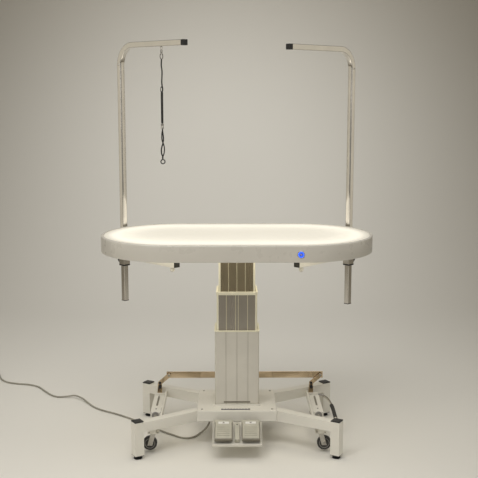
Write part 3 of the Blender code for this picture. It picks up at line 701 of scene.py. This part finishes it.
def make_power_button():
    spot = BUTTON_AT
    forward = (0, -1, 0)
    ring = [(0.0152, -0.004), (0.0152, 0.0012), (0.0144, 0.0020), (0.0126, 0.0020), (0.0122, 0.0012),
            (0.0122, -0.004)]
    bm = bmesh.new()
    steps = 48
    loops = [[(r * math.cos(2 * math.pi * k / steps), r * math.sin(2 * math.pi * k / steps), h) for r,
              h in ring]
             for k in range(steps)]
    bezel = new_object("button_bezel_ring", loft(bm, loops, closed=True), CHROME, smooth=True,
                       place=aimed(spot, forward))
    riding(bezel, "table", ("button_bezel",))
    cap = [(0.0100, -0.004), (0.0116, -0.0038), (0.0116, 0.0012), (0.0106, 0.0018), (0.0078, 0.0018),
           (0.0074, 0.0015)]
    turned("button_cap", cap, BLUE_GLOW, "power_button", aimed(spot, forward),
           replaces=("power_button",))
    turned("button_centre", [(0.0072, 0.0008), (0.0072, 0.0022), (0.0060, 0.0026)], BLUE_CAP, "power_button",
           aimed(spot, forward))
    torus("button_mark_ring", 0.0034, 0.0005, WHITE_INK, "power_button",
          aimed(spot + Vector((0, -0.0026, 0)), forward))
    block("button_mark_bar", (0.0012, 0.0008, 0.0040), spot + Vector((0, -0.0028, 0.0030)), WHITE_INK,
          "power_button",
          0.0002)


# ---------------------------------------------------------------- column

STAGES = {
    "column_outer": (0.197, 0.150, 0.004, 0.1685, 0.506, (-0.049, 0.0, 0.049)),
    "column_middle": (0.180, 0.134, 0.0035, 0.322, 0.671, (-0.047, -0.006, 0.006, 0.047)),
    "column_inner": (0.162, 0.118, 0.0035, 0.470, 0.8645, (-0.037, 0.0, 0.037)),
}


def grooved_outline(width, depth, grooves):
    """A rounded rectangle with narrow square grooves down its front and back."""
    radius, half, deep = 0.009, 0.0011, 0.0016
    corners = [point for point, _ in rounded_rectangle(width, depth, radius, 5)]
    found = []
    for sign, chunk in ((-1, grooves), (1, tuple(reversed(grooves)))):
        face = sign * depth / 2
        for x in chunk:
            first, second = (x + sign * half, x - sign * half)
            found += [Vector((first, face, 0)), Vector((first, face - sign * deep, 0)),
                      Vector((second, face - sign * deep, 0)), Vector((second, face, 0))]
        found += corners[:12] if sign < 0 else corners[12:]
    return found


def make_column():
    # The middle and inner stages take the darker satin copies, as painted shade.
    stage_shade_tones = {"column_outer": SATIN, "column_middle": MIDDLE_SATIN_PAINTED_SHADE, "column_inner": INNER_SATIN_PAINTED_SHADE}
    for node, (width, depth, wall, low, high, grooves) in STAGES.items():
        outer = grooved_outline(width, depth, grooves)
        limit_x, limit_y = width / 2 - wall, depth / 2 - wall
        bm = bmesh.new()
        walls = []
        for outline in (outer, [Vector((max(-limit_x, min(limit_x, p.x)), max(-limit_y, min(limit_y, p.y)),
                                        0))
                                for p in outer]):
            walls.append([[bm.verts.new((p.x, p.y, z)) for p in outline] for z in (low, high)])
        (out_low, out_high), (in_low, in_high) = walls
        for i in range(len(outer)):
            j = (i + 1) % len(outer)
            bm.faces.new((out_low[i], out_low[j], out_high[j], out_high[i]))
            bm.faces.new((in_low[j], in_low[i], in_high[i], in_high[j]))
            bm.faces.new((out_high[i], out_high[j], in_high[j], in_high[i]))
            bm.faces.new((out_low[j], out_low[i], in_low[i], in_low[j]))
        bmesh.ops.remove_doubles(bm, verts=bm.verts, dist=1e-6)
        bmesh.ops.dissolve_degenerate(bm, edges=bm.edges, dist=1e-6)
        # Groove faces, and on the middle and inner stages the rounded side faces, take the second material:
        # painted shade in the outer stage's grooves, a painted highlight in cream on the middle and inner
        # stages.
        for face in bm.faces:
            middle = face.calc_center_median()
            in_groove = (depth / 2 - 0.0017 < abs(middle.y) < depth / 2 - 0.0002
                         and abs(middle.x) < width / 2 - 0.012)
            painted_highlight_side = abs(middle.x) > width / 2 - 0.0095
            if in_groove or (painted_highlight_side and node != "column_outer"):
                face.material_index = 1
        obj = new_object(node + "_profile", bm, stage_shade_tones[node], smooth=True)
        obj.data.materials.append(GROOVE if node == "column_outer" else CREAM_TRIM_AND_HIGHLIGHT)
        riding(obj, BODY_OF[node], (node,))
    make_trims()
    repaint("lift_spindle", CHROME)
    repaint("lift_motor", BLACK)


def make_trims():
    for node, lower, upper, height in (("trim_outer", "column_outer", "column_middle", 0.006),
                                       ("trim_middle", "column_middle", "column_inner", 0.015)):
        width, depth = STAGES[lower][0] + 0.004, STAGES[lower][1] + 0.004
        hole = (width - STAGES[upper][0] - 0.0016) / 2
        low = STAGES[lower][4] + 0.0003
        high = low + height
        edge = 0.0015
        profile = [(edge, low), (0.0, low + edge), (0.0, high - edge), (edge, high), (hole - edge, high),
                   (hole, high - edge), (hole, low + edge), (hole - edge, low)]
        swept_ring(node + "_collar", rounded_rectangle(width, depth, 0.011), profile, CREAM_TRIM_AND_HIGHLIGHT,
                   BODY_OF[node],
                   (node,))
        for side, sign in SIDES:
            x = sign * (STAGES[upper][0] / 2 + 0.0021)
            tall = 0.0125 if node == "trim_outer" else 0.024
            block(f"{node}_guide_tab_{side}", (0.0022, 0.016, tall), (x, -0.030, high - 0.002 + tall / 2),
                  CREAM_TRIM_AND_HIGHLIGHT,
                  BODY_OF[node], 0.0006)
    # A thin dark bar on the outer stage stands for the recessed slot near its foot; its darkness is painted
    # shade.
    block("column_foot_slot_painted_shade", (0.118, 0.0016, 0.007), (0.0, -0.0752, 0.184), DARK_INK_AND_SHADE, "base", 0.0006)


# ---------------------------------------------------------------- base, legs and feet

BOX_TOP = 0.168
POST = Vector((0.427, 0.270))
ROOT = Vector((0.180, 0.1245))
POST_TOP = 0.164


def make_base():
    softened("base_box", PAINT, 0.003, 3)
    repaint("base_cover", PAINT)
    block("base_label_strip", (0.128, 0.013, 0.0012), (-0.006, -0.128, BOX_TOP + 0.0006), LABEL, "base",
          0.0004)
    for index in range(9):
        block(f"label_dash_{index}", (0.0075, 0.0035, 0.0005),
              (-0.058 + 0.013 * index, -0.1265, BOX_TOP + 0.00135),
              WHITE_INK, "base", 0.0001)
    swept_ring("column_foot_flange", rounded_rectangle(0.216, 0.170, 0.012),
               [(0.0, BOX_TOP), (0.0, BOX_TOP + 0.004), (0.0015, BOX_TOP + 0.0055),
                (0.0085, BOX_TOP + 0.0055),
                (0.0088, BOX_TOP)], PAINT, "base")
    for index, (x, y) in enumerate(((-0.155, -0.128), (0.155, -0.128), (-0.155, 0.128), (0.155, 0.128))):
        bolt(f"box_screw_{index}", (x, y, BOX_TOP), (0, 0, 1), "base", 0.005)
    for suffix, x_sign, y_sign in CORNERS:
        make_leg(suffix, x_sign, y_sign)


def make_leg(suffix, x_sign, y_sign):
    softened(f"leg_{suffix}", PAINT, 0.0028, 3)
    along = Vector((x_sign * (POST.x - ROOT.x), y_sign * (POST.y - ROOT.y), 0)).normalized()
    post = Vector((x_sign * POST.x, y_sign * POST.y, 0))
    turn = Matrix.Translation(post) @ Matrix.Rotation(math.atan2(along.y, along.x), 4, "Z")
    block(f"post_cap_{suffix}", (0.0418, 0.0418, 0.0055), (0, 0, POST_TOP + 0.0027), BLACK, "base", 0.0022,
          turn)
    block(f"post_sole_{suffix}", (0.0405, 0.0405, 0.003), (0, 0, 0.0152), BLACK, "base", 0.0008, turn)
    pad = [(0.0165, 0.0), (0.0180, 0.0012), (0.0180, 0.0040), (0.0160, 0.0056), (0.0085, 0.0062),
           (0.0085, 0.0068),
           (0.0052, 0.0070)]
    for k in range(7):
        pad += [(0.0052, 0.0072 + 0.0010 * k), (0.0046, 0.0077 + 0.0010 * k)]
    turned(f"foot_pad_{suffix}", pad, BLACK, f"foot_{suffix}", Matrix.Translation(post),
           replaces=(f"foot_{suffix}",))


# ---------------------------------------------------------------- casters and their lift

BEAM_X = 0.365
CASTER_Y = 0.196
AXLE_Z = 0.041
TRAIL = 0.016
WHEEL_R = 0.031
PLATE_BOTTOM = 0.0895
CRANK_X = {"left": -0.366, "right": 0.352}
CRANK_Y = 0.178
CRANK_Z = 0.130
CRANK_REACH = Vector((0.045, 0.0995))
BAR_Y = 0.1865


def make_caster_lift():
    for side, x_sign in SIDES:
        softened(f"side_rail_{side}", PAINT, 0.0015)
        softened(f"caster_beam_{side}", PAINT, 0.0012)
        softened(f"crank_{side}", STEEL, 0.0008)
        pivot = Vector((CRANK_X[side], CRANK_Y, CRANK_Z))
        top = pivot + Vector((CRANK_REACH.x, 0, CRANK_REACH.y))
        bolt(f"crank_pivot_screw_{side}", pivot + Vector((0, 0.0025, 0)), (0, 1, 0), f"crank_{side}", 0.006,
             0.004)
        bolt(f"crank_pivot_nut_{side}", pivot + Vector((0, -0.012, 0)), (0, -1, 0), "base", 0.007, 0.004)
        elbow = pivot + Vector((0.002, 0, 0.062))
        bolt(f"crank_elbow_screw_{side}", elbow + Vector((0, -0.0025, 0)), (0, -1, 0), f"crank_{side}",
             0.0062, 0.0045,
             BLACK)
        turned(f"crank_elbow_roller_{side}", [(0.0048, 0.0), (0.0080, 0.0005), (0.0080, 0.0050),
                                              (0.0048, 0.0055)], BLACK,
               f"crank_{side}", aimed(elbow + Vector((0, -0.0071, -0.018)), (0, -1, 0)),
               segments=32)
        bolt(f"crank_bar_screw_{side}", top + Vector((0, -0.0025, 0)), (0, -1, 0), f"crank_{side}", 0.0055,
             0.0035)
        bolt(f"bar_end_nut_{side}", top + Vector((0, BAR_Y - CRANK_Y + 0.0025, 0)), (0, 1, 0), "link_bar",
             0.0055, 0.0035)
        make_channel(side, x_sign)
        for depth, y_sign in (("front", -1), ("rear", 1)):
            make_caster(f"{depth}_{side}", side, x_sign, y_sign)
    softened("link_bar", STEEL, 0.0012)
    repaint("lift_pedal_rod", CHROME)
    sleeve = smooth_points([(0.4430, 0.092, 0.1088), (0.446, 0.070, 0.104), (0.449, 0.025, 0.094),
                            (0.450, -0.0196, 0.0881)], 20)
    strand("lift_pedal_sleeve", sleeve, 0.0088, TYRE, "crank_right")


def make_channel(side, x_sign):
    """The folded channel along each rail, with the round bearing at its front end."""
    x = x_sign * 0.3625
    run, middle = 0.232, -0.001
    block(f"channel_top_{side}", (0.045, run, 0.0025), (x, middle, 0.1505), PAINT, "base", 0.0008)
    block(f"channel_wall_{side}", (0.0025, run, 0.024), (x + x_sign * 0.0212, middle, 0.1380), PAINT, "base",
          0.0008)
    block(f"channel_end_{side}", (0.045, 0.0025, 0.026), (x, middle - run / 2, 0.1385), PAINT, "base", 0.0008)
    # A thin dark sheet on the channel top stands for its slot; its darkness is painted shade in the opening.
    block(f"channel_slot_painted_shade_{side}", (0.0085, 0.120, 0.0006), (x, 0.030, 0.1519), DARK_INK_AND_SHADE, "base", 0.0002)
    bearing = [(0.0155, 0.0), (0.0160, 0.0015), (0.0160, 0.0065), (0.0145, 0.0080), (0.0125, 0.0080),
               (0.0120, 0.0068),
               (0.0085, 0.0068), (0.0080, 0.0085)]
    front = (x, middle - run / 2 - 0.0012, 0.1385)
    turned(f"channel_bearing_{side}", bearing, HUB, "base", aimed(front, (0, -1, 0)))
    bolt(f"bearing_bolt_{side}", Vector(front) + Vector((0, -0.0084, 0)), (0, -1, 0), "base", 0.0058, 0.004)
    for index, y in enumerate((-0.075, 0.095)):
        bolt(f"channel_screw_{side}_{index}", (x, y, 0.1518), (0, 0, 1), "base", 0.0040)


def make_caster(suffix, side, x_sign, y_sign):
    fork_body, wheel_body = f"caster_fork_{suffix}", f"caster_wheel_{suffix}"
    centre = Vector((x_sign * BEAM_X, y_sign * CASTER_Y, 0))
    axle = centre + Vector((x_sign * TRAIL, 0, AXLE_Z))
    softened(f"caster_fork_{suffix}", ZINC, 0.0012)
    turned(f"swivel_race_{suffix}", [(0.0150, -0.0062), (0.0165, -0.0050), (0.0165, -0.0030),
                                     (0.0145, -0.0016)],
           ZINC, fork_body, Matrix.Translation(centre + Vector((0, 0, PLATE_BOTTOM))))
    beam = f"caster_beam_{side}"
    for index, (dx, dy) in enumerate(((-1, -1), (1, -1), (-1, 1), (1, 1))):
        bolt(f"plate_bolt_{suffix}_{index}", centre + Vector((0.0185 * dx, 0.0185 * dy,
                                                              PLATE_BOTTOM + 0.003)),
             (0, 0, 1), beam, 0.0034, 0.0024)
    across = (0, 1, 0)
    half = 0.011
    tread = [(0.0215, -half + 0.001), (0.0270, -half), (0.0295, -half + 0.0010), (0.0308, -half + 0.0032),
             (WHEEL_R, -0.003),
             (WHEEL_R, 0.003), (0.0308, half - 0.0032), (0.0295, half - 0.0010), (0.0270, half),
             (0.0215, half - 0.001)]
    turned(f"tyre_{suffix}", tread, TYRE, wheel_body, aimed(axle, across),
           replaces=(f"caster_wheel_{suffix}",))
    hub = [(0.006, -half - 0.0008), (0.0075, -half - 0.0005), (0.0085, -half + 0.0022),
           (0.0185, -half + 0.0022),
           (0.0205, -half + 0.0004), (0.0222, -half + 0.0004), (0.0222, half - 0.0004),
           (0.0205, half - 0.0004),
           (0.0185, half - 0.0022), (0.0085, half - 0.0022), (0.0075, half + 0.0005), (0.006, half + 0.0008)]
    turned(f"hub_{suffix}", hub, HUB, wheel_body, aimed(axle, across))
    for name, direction in (("inner", 1), ("outer", -1)):
        bolt(f"axle_{name}_{suffix}", axle + Vector((0, 0.0165 * direction, 0)), (0, direction, 0), fork_body,
             0.0055,
             0.0035)


# ---------------------------------------------------------------- overhead arms

ARM_X = 0.531
ARM_Y = 0.264
ARM_BOTTOM = {"left": 0.575, "right": 0.557}
ARM_BEND = 0.090
ARM_REACH = 0.444
SLEEVE_Z = 0.799


def square_section(half, radius, steps=4):
    """Points of a rounded square, as (first axis, second axis) offsets."""
    found = []
    for sx, sy, start in ((1, 1, 0), (-1, 1, 90), (-1, -1, 180), (1, -1, 270)):
        for k in range(steps + 1):
            angle = math.radians(start + 90 * k / steps)
            found.append((sx * (half - radius) + radius * math.cos(angle),
                          sy * (half - radius) + radius * math.sin(angle)))
    return found


def make_arm(side, x_sign):
    inward = Vector((-x_sign * DIAGONAL, -DIAGONAL, 0))
    up = Vector((0, 0, 1))
    sideways = inward.cross(up)
    foot = Vector((ARM_X * x_sign, ARM_Y, 0))
    level = ARM_TOP[side] - TUBE / 2
    path = [(0.0, ARM_BOTTOM[side], 0.0), (0.0, level - ARM_BEND, 0.0)]
    for k in range(1, 25):
        angle = math.pi / 2 * k / 24
        path.append((ARM_BEND * (1 - math.cos(angle)), level - ARM_BEND + ARM_BEND * math.sin(angle), angle))
    path.append((ARM_REACH - 0.018, level, math.pi / 2))
    section = square_section(TUBE / 2, 0.0028)
    loops = []
    for inwards, height, lean in path:
        centre = foot + inward * inwards + up * height
        normal = inward * math.cos(lean) - up * math.sin(lean)
        loops.append([centre + normal * a + sideways * b for a, b in section])
    tube = new_object(f"arm_tube_{side}", loft(bmesh.new(), loops), CHROME, smooth=True)
    body = f"arm_{side}"
    riding(tube, body, (f"arm_{side}",))
    tip = foot + inward * (ARM_REACH - 0.009) + up * level
    turn = Matrix.Translation(tip) @ Matrix.Rotation(math.atan2(inward.y, inward.x), 4, "Z")
    block(f"arm_tip_cap_{side}", (0.018, 0.025, 0.025), (0, 0, 0), BLACK, body, 0.0022, turn)
    base = Matrix.Translation(foot + up * ARM_BOTTOM[side]) @ Matrix.Rotation(math.atan2(inward.y, inward.x),
                                                                              4, "Z")
    block(f"arm_foot_plug_{side}", (0.0254, 0.0254, 0.004), (0, 0, 0.0012), BLACK, body, 0.001, base)
    stop = foot - sideways * (TUBE / 2) * x_sign + up * (level - 0.085)
    turned(f"arm_stop_button_{side}", [(0.0042, -0.001), (0.0042, 0.0012), (0.0026, 0.0026)], ZINC, body,
           aimed(stop, -sideways * x_sign), segments=24)


def make_holder(side, x_sign):
    softened(f"arm_holder_{side}", CHROME, 0.0012)
    softened(f"bar_sleeve_{side}", PAINT, 0.0018)
    inward = Vector((-x_sign * DIAGONAL, -DIAGONAL, 0))
    foot = Vector((ARM_X * x_sign, ARM_Y, 0))
    turn = Matrix.Translation(foot) @ Matrix.Rotation(math.atan2(inward.y, inward.x), 4, "Z")
    outline = [(point, normal) for point, normal in rounded_rectangle(0.0385, 0.0385, 0.004)]
    for name, low in (("lower", 0.7450), ("upper", 0.8185)):
        profile = [(0.0, low + 0.001), (0.0, low + 0.0055), (0.001, low + 0.0065), (0.0060, low + 0.0065),
                   (0.0060, low), (0.001, low)]
        lip = swept_ring(f"collar_lip_{name}_{side}", outline, profile, BLACK, f"holder_{side}")
        lip.data.transform(turn)
    knob_spot = foot + inward * 0.342
    top = SLEEVE_Z - 0.017
    ball = [(0.0032, top - 0.0003), (0.0032, top - 0.0035)]
    for k in range(1, 12):
        angle = math.pi * k / 12
        ball.append((0.0107 * math.sin(angle), top - 0.0128 + 0.0107 * math.cos(angle)))
    turned(f"ball_knob_{side}", ball, PAINT, f"lock_knob_{side}", Matrix.Translation(knob_spot),
           replaces=(f"lock_knob_{side}",))
    end = foot + inward * 0.372 + Vector((0, 0, SLEEVE_Z))
    end_turn = Matrix.Translation(end) @ Matrix.Rotation(math.atan2(inward.y, inward.x), 4, "Z")
    block(f"sleeve_end_plug_{side}", (0.003, 0.0325, 0.0325), (0.0008, 0, 0), BLACK, "table", 0.0012,
          end_turn)
    make_clamp_knob(side, foot, inward)


def make_clamp_knob(side, foot, inward):
    """A six-lobed hand knob on a threaded stud, pressing on the arm from outside."""
    spot = foot - inward * 0.0183 + Vector((0, 0, 0.768))
    steps = 72
    loops = []
    for reach, height in ((0.004, 0.0), (0.004, 0.006), (0.0095, 0.0072), (0.0115, 0.0088), (0.0118, 0.0160),
                          (0.0105, 0.0190), (0.0070, 0.0208)):
        lobes = 0.9 if reach > 0.009 else 0.0
        loops.append([((reach + lobes * 0.001 * math.cos(6 * a)) * math.cos(a),
                       (reach + lobes * 0.001 * math.cos(6 * a)) * math.sin(a), height)
                      for a in (2 * math.pi * k / steps for k in range(steps))])
    knob = new_object(f"clamp_hand_knob_{side}", loft(bmesh.new(), loops), BLACK, smooth=True,
                      place=aimed(spot, -inward))
    riding(knob, f"clamp_knob_{side}", (f"clamp_knob_{side}",))


# ---------------------------------------------------------------- foot switch

PEDAL_TILT = math.radians(20)
PEDAL_ORIGIN = Vector((0.0, -0.156, 0.1175))
PEDAL_SLOPE = Matrix.Translation(PEDAL_ORIGIN) @ Matrix.Rotation(PEDAL_TILT, 4, "X")
TRAY_LENGTH = 0.158


def make_foot_switch():
    softened("pedal_tray", PAINT, 0.0007)
    block("tray_front_lip", (0.213, 0.002, 0.012), (0, -TRAY_LENGTH + 0.001, 0.006), PAINT, "base", 0.0008,
          PEDAL_SLOPE)
    softened("pedal_divider", GREY, 0.004, 3)
    turned("divider_screw", [(0.0030, 0), (0.0030, 0.0012), (0.0018, 0.0018)], BLACK, "base",
           PEDAL_SLOPE @ Matrix.Translation((0, -0.040, 0.0225)), segments=20)
    for side, x_sign in SIDES:
        body = f"pedal_{side}"
        # The pedal body is painted dark as the shade under the pad's front lip.
        softened(body, DARK_INK_AND_SHADE, 0.0015)
        x = x_sign * 0.059
        block(f"pedal_pad_{side}", (0.071, 0.110, 0.004), (x, -0.082, 0.0275), GREY, body, 0.0018,
              PEDAL_SLOPE)
        for index in range(5):
            block(f"pedal_ridge_{side}_{index}", (0.056, 0.0035, 0.0026),
                  (x, -0.064 - 0.0135 * index, 0.0302), GREY,
                  body, 0.001, PEDAL_SLOPE)
        make_arrow(side, x, x_sign, body)
        block(f"tray_hanger_{side}", (0.018, 0.022, 0.0025), (x_sign * 0.090, -0.147, 0.1177), PAINT, "base",
              0.0006)
        bolt(f"tray_hanger_screw_{side}", (x_sign * 0.090, -0.142, 0.1164), (0, 0, -1), "base", 0.0036)
        block(f"pedal_housing_{side}", (0.080, 0.020, 0.016), (x, -0.0125, 0.0105), GREY, "base", 0.002,
              PEDAL_SLOPE)


def make_arrow(side, x, x_sign, body):
    """A raised plate with a triangle, up on one pedal and down on the other."""
    block(f"arrow_plate_{side}", (0.046, 0.014, 0.0010), (x, -0.0365, 0.0299), WHITE_INK, body, 0.0004,
          PEDAL_SLOPE)
    bm = bmesh.new()
    point = 1 if x_sign < 0 else -1
    corners = [(-0.006, -0.0035 * point), (0.006, -0.0035 * point), (0.0, 0.0040 * point)]
    loft(bm, [[(cx, cy, z) for cx, cy in corners] for z in (0.0, 0.0006)])
    arrow = new_object(f"arrow_mark_{side}", bm, DARK_INK_AND_SHADE,
                       place=PEDAL_SLOPE @ Matrix.Translation((x, -0.0365, 0.0304)))
    riding(arrow, body)


def main():
    make_camera()
    make_mains_lead()
    make_noose()
    make_studio()
    make_floor()
    make_top()
    make_column()
    make_base()
    make_caster_lift()
    for side, x_sign in SIDES:
        make_arm(side, x_sign)
        make_holder(side, x_sign)
    make_foot_switch()


main()
